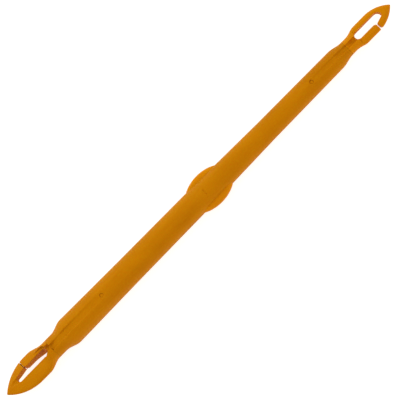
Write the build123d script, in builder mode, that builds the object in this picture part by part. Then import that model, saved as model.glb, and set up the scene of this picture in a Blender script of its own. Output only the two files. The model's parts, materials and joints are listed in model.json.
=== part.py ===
from build123d import *
from dataclasses import dataclass
from math import cos, pi, radians, sin, sqrt
import os

# A double-ended tourniquet stick: a tapered rod with an oval finger plate at its middle and a pointed,
# split eye on a swivelling stem at each end. Millimetres. X runs along the rod from the large eye to the
# small eye, Z is up, and the origin lies on the flat underside below the middle of the finger plate.

# ---- driving sizes: rod ----
large_arm_length = 81.5  # plate middle to the large eye's seam
small_arm_length = 71.9  # plate middle to the small eye's seam
large_neck_radius = 4.15
neck_floor_gap = 0.05  # from the large neck down to the plane of the flat underside
rest_depth = large_neck_radius + neck_floor_gap  # from the rod's long axis down to its flat underside
large_neck_length = 2.9
large_flare_length = 6.0
large_swell_radius = 5.6
large_waist_offset = 29.5  # from the large swell to the waist of the arm
large_waist_radius = 5.24
large_root_radius = 5.03
small_root_radius = 4.72
small_waist_offset = 30.0  # from the plate middle to the waist of the small arm
small_waist_radius = 4.30
small_swell_radius = 4.07
small_flare_length = 5.9
small_neck_radius = 3.13
small_neck_fall = 0.15  # slope of the rod's surface where the small flare meets its seam
neck_edge = 0.2  # broken edge of each neck where it meets its eye

# ---- driving sizes: finger plate ----
plate_length = 21.2
plate_width = 13.6
plate_thickness = 4.0
plate_rim_radius = 1.5
plate_root_inset = 2.7  # from each end of the plate in to where the rod's width steps
nick_x = -1.8  # moulding witness across the crown
nick_y = -0.6
nick_length = 2.4
nick_width = 0.6
nick_depth = 0.2

# ---- fits ----
seam_gap = 0.08  # end play between a neck and its eye
swivel_clearance = 0.05  # radial, stem in its bore
stem_end_gap = 0.6  # stem end to the bottom of the bore
pin_groove_side_gap = 0.1
pin_groove_floor_gap = 0.15
knuckle_clearance = 0.06  # gate root in its seat

# ---- shaping shared by both eyes ----
tip_flat = 0.2  # blunt length taken off each point
body_pitch_target = 1.25  # spacing of the sections from the neck to the nose
nose_steps = 6  # sections from the nose to the point
face_ramp_run = 1.2  # run of the ramp onto a flat face for each unit that it drops
slot_round_share = 0.49  # radius of the slot's neck end as a share of its height, just under a full round
slot_far_share = 0.3  # depth of the slot's far end on the split side, as a share of its height
slot_far_corner = 0.5
channel_slot_share = 0.5  # depth at which the neck channel runs into the slot, as a share of the half depth
channel_overrun = 1.0  # how far a channel's cutter runs on past its open end
channel_end_depth = 0.2  # depth of a channel's round end below the crown
dish_lead = 1.5  # how far back inside the slot each dish begins
dish_under = 0.2  # how much deeper the dish's cutter starts there
reach = 1.5  # how far cutters stand clear of the head


@dataclass
class EyeSizes:
    """One end of the stick. Lengths along the eye start at its seam and run toward the point."""

    seam_x: float
    toward_point: int  # +1 when the point is on the +X side
    turn: float  # degrees about +X that the eye stands turned from the plate
    length: float
    neck_radius: float
    neck_length: float
    shoulder: float  # where the full width is reached
    nose: float  # where the nose starts to narrow
    half_width: float  # on the split side
    solid_neck_length: float  # the same three sizes for the unsplit side
    solid_shoulder: float
    solid_half_width: float
    half_depth: float
    face_half_depth: float | None  # flat faces cut on both sides, None for a fully rounded eye
    face_start: float
    slot_start: float
    slot_end: float
    slot_height: float
    slot_offset: float  # toward the unsplit wall
    slot_far_radius: float
    lip_drop: float
    slit: float  # where the split crosses the slot's edge
    slit_width: float
    slit_slant: float  # how far the split runs on toward the point on its way out
    gate_tip_radius: float
    lip_tip_radius: float
    pivot: float
    pivot_depth: float  # from the slot's edge into the gate wall
    knuckle_radius: float
    stem_radius: float
    stem_length: float
    pin_radius: float
    pin_distance: float  # from the seam back along the rod
    pin_recess: float
    groove_depth: float
    channel_width: float
    channel_floor: float  # height of the channel's floor above the long axis at the seam
    channel_swell_depth: float  # depth of the channel below the crown where the rod is thickest
    landing_start: float  # middle of the round end of the flat landing beside the slot
    landing_width: float  # 0 where the faces are cut flat anyway
    dish_length: float  # how far the dish runs past the slot toward the point
    dish_radius: float
    dish_depth: float


large = EyeSizes(
    seam_x=-large_arm_length,
    toward_point=-1,
    turn=-14.0,
    length=24.1,
    neck_radius=large_neck_radius,
    neck_length=1.7,
    shoulder=8.5,
    nose=10.5,
    half_width=5.95,
    solid_neck_length=0.8,
    solid_shoulder=6.6,
    solid_half_width=6.15,
    half_depth=1.95,
    face_half_depth=None,
    face_start=0.0,
    slot_start=1.9,
    slot_end=17.6,
    slot_height=3.0,
    slot_offset=-0.5,
    slot_far_radius=1.3,
    lip_drop=0.35,
    slit=12.2,
    slit_width=0.22,
    slit_slant=0.7,
    gate_tip_radius=0.9,
    lip_tip_radius=0.3,
    pivot=4.6,
    pivot_depth=1.45,
    knuckle_radius=1.75,
    stem_radius=1.65,
    stem_length=29.0,
    pin_radius=0.75,
    pin_distance=26.6,
    pin_recess=0.45,
    groove_depth=0.55,
    channel_width=2.6,
    channel_floor=2.8,
    channel_swell_depth=0.6,
    landing_start=4.0,
    landing_width=5.0,
    dish_length=3.2,
    dish_radius=1.25,
    dish_depth=0.7,
)

small = EyeSizes(
    seam_x=small_arm_length,
    toward_point=1,
    turn=0.0,
    length=22.75,
    neck_radius=small_neck_radius,
    neck_length=2.5,
    shoulder=7.3,
    nose=13.0,
    half_width=4.15,
    solid_neck_length=2.5,
    solid_shoulder=7.3,
    solid_half_width=4.15,
    half_depth=2.05,
    face_half_depth=1.5,
    face_start=3.4,
    slot_start=4.9,
    slot_end=17.7,
    slot_height=3.1,
    slot_offset=0.3,
    slot_far_radius=1.9,
    lip_drop=0.5,
    slit=13.5,
    slit_width=0.6,
    slit_slant=0.35,
    gate_tip_radius=0.9,
    lip_tip_radius=0.9,
    pivot=6.9,
    pivot_depth=1.3,
    knuckle_radius=1.6,
    stem_radius=1.3,
    stem_length=20.0,
    pin_radius=0.75,
    pin_distance=18.1,
    pin_recess=0.45,
    groove_depth=0.45,
    channel_width=2.0,
    channel_floor=2.25,
    channel_swell_depth=0.5,
    landing_start=0.0,
    landing_width=0.0,
    dish_length=0.0,
    dish_radius=0.0,
    dish_depth=0.0,
)


def rod_stations():
    """(x, radius) of the rod from the large seam to the small seam, with straight taper between them."""
    swell_x = -large_arm_length + large_neck_length + large_flare_length
    root_x = plate_length / 2 - plate_root_inset
    return [
        (swell_x, large_swell_radius),
        (swell_x + large_waist_offset, large_waist_radius),
        (-root_x, large_root_radius),
        (root_x, small_root_radius),
        (small_waist_offset, small_waist_radius),
        (small_arm_length - small_flare_length, small_swell_radius),
    ]


def rod_radius(x):
    """Radius of the rod between the two flares."""
    stations = rod_stations()
    for (x0, r0), (x1, r1) in zip(stations, stations[1:]):
        if x0 <= x <= x1:
            return r0 + (r1 - r0) * (x - x0) / (x1 - x0)
    return stations[-1][1] if x > stations[-1][0] else stations[0][1]


def eye_plane(eye):
    """Middle plane of an eye: local x toward the point, local z out of the upper face."""
    tilt = radians(-eye.turn)
    return Plane(
        origin=(eye.seam_x, 0, rest_depth),
        x_dir=(eye.toward_point, 0, 0),
        z_dir=(0, sin(tilt), cos(tilt)),
    )


def rod_plane(eye):
    """The same frame before the eye is turned, for what belongs to the rod."""
    return Plane(origin=(eye.seam_x, 0, rest_depth), x_dir=(eye.toward_point, 0, 0), z_dir=(0, 0, 1))


def across(frame, along):
    """A plane across the stick at a distance toward the point, its x the frame's own y."""
    return Plane(
        origin=frame.from_local_coords(Vector(along, 0, 0)),
        x_dir=frame.y_dir,
        z_dir=frame.x_dir,
    )


def sloping_floor(frame, start, end):
    """A plane along the line from start to end, both (x, y, height) in the frame, its z out of the face."""
    low = frame.from_local_coords(Vector(*start))
    high = frame.from_local_coords(Vector(*end))
    along = (high - low).normalized()
    outward = frame.z_dir if start[2] > 0 else frame.z_dir * -1
    outward = (outward - along * outward.dot(along)).normalized()
    return Plane(origin=low, x_dir=along, z_dir=outward), (high - low).length


def flat_channel(frame, start, end, width):
    """Flat-bottomed cutter whose floor runs from start to end, with a round end at the start."""
    floor, length = sloping_floor(frame, start, end)
    with BuildPart() as cutter:
        with BuildSketch(floor):
            Circle(width / 2)
            Rectangle(length, width, align=(Align.MIN, Align.CENTER))
        extrude(amount=large_swell_radius)
    return cutter.part


def round_channel(frame, start, end, radius):
    """Round-bottomed cutter whose lowest line runs from start to end."""
    floor, length = sloping_floor(frame, start, end)
    with BuildPart() as cutter:
        with BuildSketch(Plane(origin=floor.from_local_coords(Vector(0, 0, radius)), z_dir=floor.x_dir)):
            Circle(radius)
        extrude(amount=length)
    return cutter.part


def crown_channel(eye):
    """The channel along the rod's crown: a long shallow run from the pin, then a fall to the seam."""
    frame = rod_plane(eye)
    stations = rod_stations()
    swell_x, swell_radius = stations[0] if eye.toward_point < 0 else stations[-1]
    swell = abs(eye.seam_x - swell_x)
    swell_floor = swell_radius - eye.channel_swell_depth
    end_floor = rod_radius(eye.seam_x - eye.toward_point * eye.pin_distance) - channel_end_depth
    run_slope = (end_floor - swell_floor) / (eye.pin_distance - swell)
    fall_slope = (swell_floor - eye.channel_floor) / swell
    overlap = eye.channel_width / 2
    run_end = (-swell + overlap, 0, swell_floor - run_slope * overlap)
    fall_end = (channel_overrun, 0, eye.channel_floor - fall_slope * channel_overrun)
    with BuildPart() as cutter:
        add(flat_channel(frame, (-eye.pin_distance, 0, end_floor), run_end, eye.channel_width))
        add(flat_channel(frame, (-swell, 0, swell_floor), fall_end, eye.channel_width))
    return cutter.part


# ---- finger plate ----
with BuildPart() as grip_plate:
    with BuildSketch(Plane.XY.offset(rest_depth - plate_thickness / 2)):
        Ellipse(plate_length / 2, plate_width / 2)
    extrude(amount=plate_thickness)
    fillet(grip_plate.edges().filter_by(Plane.XY), radius=plate_rim_radius)
grip_plate.part.label = "grip_plate"

# ---- rod ----
large_channel = crown_channel(large)
small_channel = crown_channel(small)
nick_radius = rod_radius(nick_x)

with BuildPart() as shaft:
    with BuildSketch(Plane.XZ) as half_section:
        with BuildLine():
            stations = [(x, rest_depth + r) for x, r in rod_stations()]
            neck_top = rest_depth + large_neck_radius
            neck_end = -large_arm_length + large_neck_length
            tail_top = rest_depth + small_neck_radius
            Polyline(
                (-large_arm_length, rest_depth),
                (-large_arm_length, neck_top - neck_edge),
                (-large_arm_length + neck_edge, neck_top),
                (neck_end, neck_top),
            )
            Spline((neck_end, neck_top), stations[0], tangents=((1, 0), (1, 0)))
            Polyline(*stations)
            Spline(
                stations[-1],
                (small_arm_length - neck_edge, tail_top),
                tangents=((1, 0), (1, -small_neck_fall)),
            )
            Polyline(
                (small_arm_length - neck_edge, tail_top),
                (small_arm_length, tail_top - neck_edge),
                (small_arm_length, rest_depth),
                (-large_arm_length, rest_depth),
            )
        make_face()
    revolve(axis=Axis((0, 0, rest_depth), (1, 0, 0)))
    # flat underside
    with BuildSketch(Plane.XY):
        Rectangle(4 * max(large_arm_length, small_arm_length), 4 * large_swell_radius)
    extrude(amount=-2 * large_swell_radius, mode=Mode.SUBTRACT)
    # pocket that the finger plate fills
    add(grip_plate.part, mode=Mode.SUBTRACT)
    # bores for the stems
    for eye in (large, small):
        with BuildSketch(across(rod_plane(eye), 0)):
            Circle(eye.stem_radius + swivel_clearance)
        extrude(amount=-(eye.stem_length + stem_end_gap), mode=Mode.SUBTRACT)
    # holes for the retaining pins
    for eye in (large, small):
        pin_x = eye.seam_x - eye.toward_point * eye.pin_distance
        with BuildSketch(Plane.XY.offset(rest_depth)):
            with Locations((pin_x, 0)):
                Circle(eye.pin_radius)
        extrude(amount=2 * large_swell_radius, mode=Mode.SUBTRACT)
    # crown channels
    add(large_channel, mode=Mode.SUBTRACT)
    add(small_channel, mode=Mode.SUBTRACT)
    # moulding witness
    nick_plane = Plane(origin=(nick_x - nick_width / 2, 0, rest_depth), x_dir=(0, 1, 0), z_dir=(1, 0, 0))
    with BuildSketch(nick_plane):
        Circle(2 * nick_radius)
        Circle(nick_radius - nick_depth, mode=Mode.SUBTRACT)
        with Locations((nick_y, nick_radius)):
            Rectangle(nick_length, 2 * nick_radius, mode=Mode.INTERSECT)
    extrude(amount=nick_width, mode=Mode.SUBTRACT)
shaft.part.label = "shaft"


# ---- retaining pins ----
def retaining_pin(eye):
    """Plain pin pressed in from the crown, its inner end in the stem's groove."""
    pin_x = eye.seam_x - eye.toward_point * eye.pin_distance
    foot = rest_depth + eye.stem_radius - eye.groove_depth + pin_groove_floor_gap
    top = rest_depth + rod_radius(pin_x) - eye.pin_recess
    with BuildPart() as pin:
        with BuildSketch(Plane.XY.offset(foot)):
            with Locations((pin_x, 0)):
                Circle(eye.pin_radius)
        extrude(amount=top - foot)
    return pin


large_eye_pin = retaining_pin(large)
large_eye_pin.part.label = "large_eye_pin"
small_eye_pin = retaining_pin(small)
small_eye_pin.part.label = "small_eye_pin"


# ---- eyes ----
def flank_at(eye, along, neck_length, shoulder, widest):
    """Distance of one flank from the middle: eased out to the shoulder, then an arc to the point."""
    if along <= neck_length:
        return eye.neck_radius
    if along < shoulder:
        share = (along - neck_length) / (shoulder - neck_length)
        return eye.neck_radius + (widest - eye.neck_radius) * (1 - cos(pi * share)) / 2
    if along <= eye.nose:
        return widest
    run = eye.length - eye.nose
    radius = (run**2 + widest**2) / (2 * widest)
    return widest - radius + sqrt(radius**2 - (along - eye.nose) ** 2)


def half_width_at(eye, along):
    """Half width in plan on the split side."""
    return flank_at(eye, along, eye.neck_length, eye.shoulder, eye.half_width)


def solid_half_width_at(eye, along):
    """Half width in plan on the unsplit side."""
    return flank_at(eye, along, eye.solid_neck_length, eye.solid_shoulder, eye.solid_half_width)


def half_depth_at(eye, along):
    """Half depth, which falls from the round neck to the flat head by the shoulder."""
    if along <= eye.neck_length:
        return eye.neck_radius
    if along < eye.shoulder:
        share = (along - eye.neck_length) / (eye.shoulder - eye.neck_length)
        return eye.neck_radius + (eye.half_depth - eye.neck_radius) * (1 - cos(pi * share)) / 2
    return eye.half_depth * sqrt(half_width_at(eye, along) / eye.half_width)


def eye_blank(eye):
    """The solid head and neck of an eye with its landing, before the slot and the split are cut."""
    frame = eye_plane(eye)
    neck_end = min(eye.neck_length, eye.solid_neck_length)
    body_steps = round((eye.nose - neck_end) / body_pitch_target)
    body_pitch = (eye.nose - neck_end) / body_steps
    body = [neck_end + body_pitch * step for step in range(body_steps)]
    last = eye.length - tip_flat
    nose = [eye.nose + (last - eye.nose) * sin(pi / 2 * step / nose_steps) for step in range(nose_steps + 1)]
    with BuildPart() as blank:
        with BuildSketch(across(frame, seam_gap)):
            Circle(eye.neck_radius)
        extrude(amount=neck_end - seam_gap)
        seam_edge = blank.edges().filter_by(GeomType.CIRCLE).sort_by_distance(frame.origin)[0]
        chamfer(seam_edge, length=neck_edge)
        for along in body + nose:
            solid_side = solid_half_width_at(eye, along)
            split_side = half_width_at(eye, along)
            with BuildSketch(across(frame, along)):
                with Locations(((solid_side - split_side) / 2, 0)):
                    Ellipse((solid_side + split_side) / 2, half_depth_at(eye, along))
        loft()
        if eye.landing_width:
            near = (eye.landing_start, eye.slot_offset, eye.half_depth)
            far = (max(eye.shoulder, eye.solid_shoulder), eye.slot_offset, eye.half_depth)
            add(flat_channel(frame, near, far, eye.landing_width), mode=Mode.SUBTRACT)
        if eye.face_half_depth is not None:
            drop = eye.neck_radius - eye.face_half_depth
            clear = eye.neck_radius + reach
            for side in (1, -1):
                wall = Plane(origin=frame.origin, x_dir=frame.x_dir, z_dir=frame.y_dir * -1)
                with BuildSketch(wall):
                    with BuildLine():
                        Polyline(
                            (eye.face_start - face_ramp_run * reach, side * clear),
                            (eye.face_start + face_ramp_run * drop, side * eye.face_half_depth),
                            (eye.length + reach, side * eye.face_half_depth),
                            (eye.length + reach, side * clear),
                            close=True,
                        )
                    make_face()
                extrude(amount=2 * eye.solid_half_width, both=True, mode=Mode.SUBTRACT)
    return blank.part


def gate_edge(eye):
    """Local y of the slot's edge on the split side."""
    return eye.slot_offset - eye.slot_height / 2


def outside(eye):
    """Local y well clear of the split side."""
    return -(eye.half_width + reach)


def pivot_point(eye):
    """Local x and y of the gate's root, about which it bends."""
    return (eye.pivot, gate_edge(eye) - eye.pivot_depth)


def slot_outline(eye):
    """The slot in plan. Its far end slants back along the lip of the nose."""
    low = gate_edge(eye)
    high = eye.slot_offset + eye.slot_height / 2
    round_end = slot_round_share * eye.slot_height
    lip_start = eye.slit + eye.slit_width
    with BuildSketch() as outline:
        with BuildLine():
            FilletPolyline(
                (eye.slot_start, low),
                (eye.slit, low),
                (eye.slit, low - eye.lip_drop),
                (lip_start, low - eye.lip_drop),
                (eye.slot_end, eye.slot_offset - slot_far_share * eye.slot_height),
                (eye.slot_end, high),
                (eye.slot_start, high),
                radius=[round_end, 0, 0, 0, slot_far_corner, eye.slot_far_radius, round_end],
                close=True,
            )
        make_face()
    return outline.sketch


def gate_outline(eye):
    """The gate in plan: a straight arm from a round root to the split."""
    low = gate_edge(eye)
    slit_out = eye.slit + eye.slit_slant
    arm_start = eye.pivot + knuckle_clearance
    with BuildSketch() as outline:
        with BuildLine():
            FilletPolyline(
                (arm_start, outside(eye)),
                (arm_start, low),
                (eye.slit, low),
                (slit_out, outside(eye)),
                radius=[0, 0, eye.gate_tip_radius, 0],
                close=True,
            )
        make_face()
        with Locations(pivot_point(eye)):
            Circle(eye.knuckle_radius)
        with Locations((eye.pivot, low)):
            Rectangle(
                4 * eye.knuckle_radius,
                2 * eye.knuckle_radius,
                align=(Align.CENTER, Align.MIN),
                mode=Mode.SUBTRACT,
            )
    return outline.sketch


def bay_outline(eye):
    """The room for the gate in plan, with the rounded outer corner of the nose's lip."""
    lip_in = eye.slit + eye.slit_width
    lip_y = -half_width_at(eye, lip_in + eye.lip_tip_radius)
    lip_out = lip_in + eye.slit_slant * (eye.slot_offset - lip_y) / (eye.slot_offset - outside(eye))
    corner = eye.lip_tip_radius
    inner = corner * (1 - cos(pi / 4))
    with BuildSketch() as outline:
        with BuildLine():
            Polyline(
                (lip_out + corner, lip_y),
                (lip_out + corner, outside(eye)),
                (eye.pivot, outside(eye)),
                (eye.pivot, eye.slot_offset),
                (lip_in, eye.slot_offset),
                (lip_out, lip_y + corner),
            )
            ThreePointArc(
                (lip_out, lip_y + corner),
                (lip_out + inner, lip_y + inner),
                (lip_out + corner, lip_y),
            )
        make_face()
        with Locations(pivot_point(eye)):
            Circle(eye.knuckle_radius + knuckle_clearance)
    return outline.sketch


def eye_channels(eye):
    """Cutters for the channel from the neck into the slot and the dishes past the slot."""
    frame = eye_plane(eye)
    into_slot = eye.slot_start + eye.slot_height / 2
    slot_floor = channel_slot_share * eye.half_depth
    lead_in = channel_overrun + eye.channel_width / 2
    rise = (eye.channel_floor - slot_floor) / into_slot * lead_in
    cutters = [
        flat_channel(
            frame,
            (-lead_in, 0, eye.channel_floor + rise),
            (into_slot, 0, slot_floor),
            eye.channel_width,
        )
    ]
    if eye.dish_depth:
        rim = half_depth_at(eye, eye.slot_end + eye.dish_length)
        floor = half_depth_at(eye, eye.slot_end) - eye.dish_depth
        for side in (1, -1):
            cutters.append(
                round_channel(
                    frame,
                    (eye.slot_end - dish_lead, eye.slot_offset, side * (floor - dish_under)),
                    (eye.slot_end + eye.dish_length, eye.slot_offset, side * rim),
                    eye.dish_radius,
                )
            )
    return cutters


def whole_eye(eye, blank):
    """Head with slot and split, and the stem with its ring groove."""
    frame = eye_plane(eye)
    through = 2 * eye.solid_half_width
    groove_width = 2 * (eye.pin_radius + pin_groove_side_gap)
    cutters = eye_channels(eye)
    with BuildPart() as head:
        add(blank)
        with BuildSketch(frame):
            add(slot_outline(eye))
        extrude(amount=through, both=True, mode=Mode.SUBTRACT)
        with BuildSketch(frame):
            add(bay_outline(eye))
        extrude(amount=through, both=True, mode=Mode.SUBTRACT)
        for cutter in cutters:
            add(cutter, mode=Mode.SUBTRACT)
        with BuildSketch(across(frame, seam_gap)):
            Circle(eye.stem_radius)
        extrude(amount=-(eye.stem_length + seam_gap))
        with BuildSketch(across(frame, -eye.pin_distance - groove_width / 2)):
            Circle(2 * eye.stem_radius)
            Circle(eye.stem_radius - eye.groove_depth, mode=Mode.SUBTRACT)
        extrude(amount=groove_width, mode=Mode.SUBTRACT)
    return head


def gate(eye, blank):
    """The split wall of an eye as the arm that gives way."""
    with BuildPart() as arm:
        add(blank)
        with BuildSketch(eye_plane(eye)):
            add(gate_outline(eye))
        extrude(amount=2 * eye.solid_half_width, both=True, mode=Mode.INTERSECT)
    return arm


large_blank = eye_blank(large)
large_eye = whole_eye(large, large_blank)
large_eye.part.label = "large_eye"
large_gate = gate(large, large_blank)
large_gate.part.label = "large_gate"

small_blank = eye_blank(small)
small_eye = whole_eye(small, small_blank)
small_eye.part.label = "small_eye"
small_gate = gate(small, small_blank)
small_gate.part.label = "small_gate"

# ---- export ----
os.makedirs("parts", exist_ok=True)
export_step(shaft.part, "parts/shaft.step")
export_step(grip_plate.part, "parts/grip_plate.step")
export_step(large_eye_pin.part, "parts/large_eye_pin.step")
export_step(small_eye_pin.part, "parts/small_eye_pin.step")
export_step(large_eye.part, "parts/large_eye.step")
export_step(large_gate.part, "parts/large_gate.step")
export_step(small_eye.part, "parts/small_eye.step")
export_step(small_gate.part, "parts/small_gate.step")
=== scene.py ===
import json
from math import atan2, cos, pi, radians, sin, sqrt

import bpy
from mathutils import Matrix, Vector


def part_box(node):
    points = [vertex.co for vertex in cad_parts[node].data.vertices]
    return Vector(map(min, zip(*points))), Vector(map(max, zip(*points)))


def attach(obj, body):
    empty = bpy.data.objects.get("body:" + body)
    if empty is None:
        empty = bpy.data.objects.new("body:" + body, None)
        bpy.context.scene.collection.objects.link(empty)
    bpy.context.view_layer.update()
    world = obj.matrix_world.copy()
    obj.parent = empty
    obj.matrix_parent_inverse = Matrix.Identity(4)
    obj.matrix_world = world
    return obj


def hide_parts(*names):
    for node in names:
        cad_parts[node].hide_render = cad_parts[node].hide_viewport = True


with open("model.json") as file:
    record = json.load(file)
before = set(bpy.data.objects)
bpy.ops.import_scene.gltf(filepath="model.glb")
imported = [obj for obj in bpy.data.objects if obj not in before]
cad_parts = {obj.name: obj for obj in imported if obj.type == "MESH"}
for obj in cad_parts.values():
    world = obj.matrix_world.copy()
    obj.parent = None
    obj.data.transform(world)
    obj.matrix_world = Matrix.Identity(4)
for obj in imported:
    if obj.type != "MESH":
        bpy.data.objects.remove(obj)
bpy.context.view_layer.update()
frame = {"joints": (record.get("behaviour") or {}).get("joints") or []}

MM = 0.001

# ---------------------------------------------------------------- sizes, in metres, from the frame
ROD_LOW, ROD_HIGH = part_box("shaft")
PLATE_LOW, PLATE_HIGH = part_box("grip_plate")
LARGE_LOW, LARGE_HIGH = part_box("large_eye")
SMALL_LOW, SMALL_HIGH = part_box("small_eye")
LARGE_PIN_LOW, LARGE_PIN_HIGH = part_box("large_eye_pin")
SMALL_PIN_LOW, SMALL_PIN_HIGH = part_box("small_eye_pin")

AXIS_Z = (PLATE_LOW.z + PLATE_HIGH.z) / 2
LARGE_SEAM = ROD_LOW.x
SMALL_SEAM = ROD_HIGH.x
LARGE_GATE_AXIS = [joint["axis"] for joint in frame["joints"] if joint["name"] == "large_gate_bend"][0]
LARGE_TURN = -atan2(LARGE_GATE_AXIS[1], LARGE_GATE_AXIS[2])

PIN_RADIUS = (LARGE_PIN_HIGH.x - LARGE_PIN_LOW.x) / 2
LARGE_PIN_X = (LARGE_PIN_LOW.x + LARGE_PIN_HIGH.x) / 2
SMALL_PIN_X = (SMALL_PIN_LOW.x + SMALL_PIN_HIGH.x) / 2

# fits
SEAM_GAP = 0.06 * MM
PIVOT_PLAY = 0.02 * MM
BORE_PLAY = 0.05 * MM
PIN_HOLE_PLAY = 0.03 * MM
PIN_GROOVE_PLAY = 0.1 * MM
STEM_END_GAP = 0.6 * MM
LIP_PLAY = 0.08 * MM

# reach of the cutters
OVERRUN = 1 * MM
TALL = 10 * MM
CHANNEL_CUTTER_HEIGHT = 6 * MM

# fineness of the meshes
ROD_SIDES = 96
EYE_SIDES = 72
STEM_SIDES = 48
BORE_SIDES = 64
ROD_GRAIN = 0.26 * MM
LARGE_EYE_GRAIN = 0.11 * MM
SMALL_EYE_GRAIN = 0.1 * MM
SMOOTHING_ROUNDS = 3

# ---------------------------------------------------------------- modelling helpers


def deselect():
    """Back to object mode with nothing selected."""
    if bpy.context.object and bpy.context.object.mode != "OBJECT":
        bpy.ops.object.mode_set(mode="OBJECT")
    bpy.ops.object.select_all(action="DESELECT")


def make_active(piece):
    """Select one piece alone."""
    deselect()
    piece.select_set(True)
    bpy.context.view_layer.objects.active = piece


def settle(piece, name=None):
    """Put a piece's place and turn into its mesh."""
    make_active(piece)
    bpy.ops.object.transform_apply(location=True, rotation=True, scale=True)
    if name:
        piece.name = name
        piece.data.name = name
    return piece


def apply_modifier(piece, kind, **settings):
    """Add a modifier with its settings and put its result into the mesh."""
    make_active(piece)
    modifier = piece.modifiers.new(kind.title(), kind)
    for key, value in settings.items():
        setattr(modifier, key, value)
    bpy.ops.object.modifier_apply(modifier=modifier.name)


def cut(piece, tool, operation="DIFFERENCE", keep=False):
    """Cut a piece with a tool, and throw the tool away unless it is kept."""
    apply_modifier(piece, "BOOLEAN", object=tool, operation=operation, solver="EXACT")
    if not keep:
        bpy.data.objects.remove(tool)


def drawn_out(name, stations, sides):
    """A closed body drawn out ring by ring along X. Each station is (x, half width, half depth, middle y)."""
    deselect()
    x, wide, deep, middle = stations[0]
    bpy.ops.mesh.primitive_circle_add(
        vertices=sides, radius=1.0, fill_type="NGON", location=(x, middle, 0), rotation=(0, pi / 2, 0)
    )
    body = settle(bpy.context.active_object, name)
    bpy.ops.object.mode_set(mode="EDIT")
    bpy.ops.mesh.select_all(action="SELECT")
    bpy.ops.transform.resize(value=(1, wide, deep), center_override=(x, middle, 0))
    for (x0, wide0, deep0, middle0), (x1, wide1, deep1, middle1) in zip(stations, stations[1:]):
        step = (x1 - x0, middle1 - middle0, 0)
        bpy.ops.mesh.extrude_region_move(TRANSFORM_OT_translate={"value": step})
        bpy.ops.transform.resize(value=(1, wide1 / wide0, deep1 / deep0), center_override=(x1, middle1, 0))
    bpy.ops.mesh.select_all(action="SELECT")
    bpy.ops.mesh.normals_make_consistent(inside=False)
    bpy.ops.object.mode_set(mode="OBJECT")
    return body


def block(low, high):
    """A box between two corners."""
    deselect()
    low, high = Vector(low), Vector(high)
    bpy.ops.mesh.primitive_cube_add(size=1.0, location=(low + high) / 2, scale=high - low)
    return settle(bpy.context.active_object)


def select_upright_edges(piece, x, y):
    """Select the upright edges of a block that stand at x, y, and leave it in edit mode."""
    near = 1e-6
    bpy.ops.object.mode_set(mode="OBJECT")
    for vertex in piece.data.vertices:
        vertex.select = False
    for face in piece.data.polygons:
        face.select = False
    for edge in piece.data.edges:
        ends = [piece.data.vertices[index].co for index in edge.vertices]
        edge.select = all(abs(end.x - x) < near and abs(end.y - y) < near for end in ends)
    bpy.ops.object.mode_set(mode="EDIT")
    bpy.ops.mesh.select_mode(type="EDGE")


def round_upright(piece, x, y, radius, segments=8):
    """Round the upright edge at x, y."""
    make_active(piece)
    select_upright_edges(piece, x, y)
    bpy.ops.mesh.bevel(offset=radius, segments=segments, affect="EDGES", clamp_overlap=False)
    bpy.ops.object.mode_set(mode="OBJECT")


def shift_upright(piece, x, y, step):
    """Move the upright edge at x, y sideways."""
    make_active(piece)
    select_upright_edges(piece, x, y)
    bpy.ops.transform.translate(value=(step[0], step[1], 0))
    bpy.ops.object.mode_set(mode="OBJECT")


def score_across(piece, x):
    """Cut new edges round a block at x."""
    make_active(piece)
    bpy.ops.object.mode_set(mode="EDIT")
    bpy.ops.mesh.select_all(action="SELECT")
    bpy.ops.mesh.bisect(plane_co=(x, 0, 0), plane_no=(1, 0, 0))
    bpy.ops.object.mode_set(mode="OBJECT")


def round_bar(start, end, radius, sides=48):
    """A straight round bar between two points."""
    deselect()
    start, end = Vector(start), Vector(end)
    turn = (end - start).to_track_quat("Z", "Y").to_euler()
    bpy.ops.mesh.primitive_cylinder_add(
        vertices=sides, radius=radius, depth=(end - start).length, location=(start + end) / 2, rotation=turn
    )
    return settle(bpy.context.active_object)


def flute(start, end, radius, upward=1):
    """A bar whose lowest line runs from start to end, for cutting a round-bottomed channel."""
    start, end = Vector(start), Vector(end)
    along = (end - start).normalized()
    lift = Vector((0, 0, upward))
    lift = (lift - along * lift.dot(along)).normalized() * radius
    return round_bar(start + lift, end + lift, radius)


def trough(start, end, width):
    """A flat-bottomed cutter whose floor runs from start to end, with a round end at the start."""
    start, end = Vector(start), Vector(end)
    length = (end - start).length
    tool = block((0, -width / 2, 0), (length, width / 2, CHANNEL_CUTTER_HEIGHT))
    cut(tool, round_bar((0, 0, 0), (0, 0, CHANNEL_CUTTER_HEIGHT), width / 2, BORE_SIDES), "UNION")
    along = (end - start).normalized()
    upward = (Vector((0, 0, 1)) - along * along.z).normalized()
    turn = Matrix((along, upward.cross(along), upward)).transposed().to_4x4()
    tool.matrix_world = Matrix.Translation(start) @ turn
    return settle(tool)


def soften(piece, grain):
    """Even out the mesh and round every edge slightly, as moulded plastic is."""
    apply_modifier(piece, "REMESH", mode="VOXEL", voxel_size=grain, use_smooth_shade=True)
    apply_modifier(piece, "SMOOTH", factor=0.5, iterations=SMOOTHING_ROUNDS)
    make_active(piece)
    bpy.ops.object.shade_smooth()


def shade(piece, crease):
    """Shade a piece smooth, with a crease wherever it turns by more than so many degrees."""
    make_active(piece)
    bpy.ops.object.shade_smooth_by_angle(angle=radians(crease))


# ---------------------------------------------------------------- finger plate
PLATE_HALF_LENGTH = (PLATE_HIGH.x - PLATE_LOW.x) / 2
PLATE_HALF_WIDTH = (PLATE_HIGH.y - PLATE_LOW.y) / 2
PLATE_THICKNESS = PLATE_HIGH.z - PLATE_LOW.z
PLATE_RIM = 1.75 * MM


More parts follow.
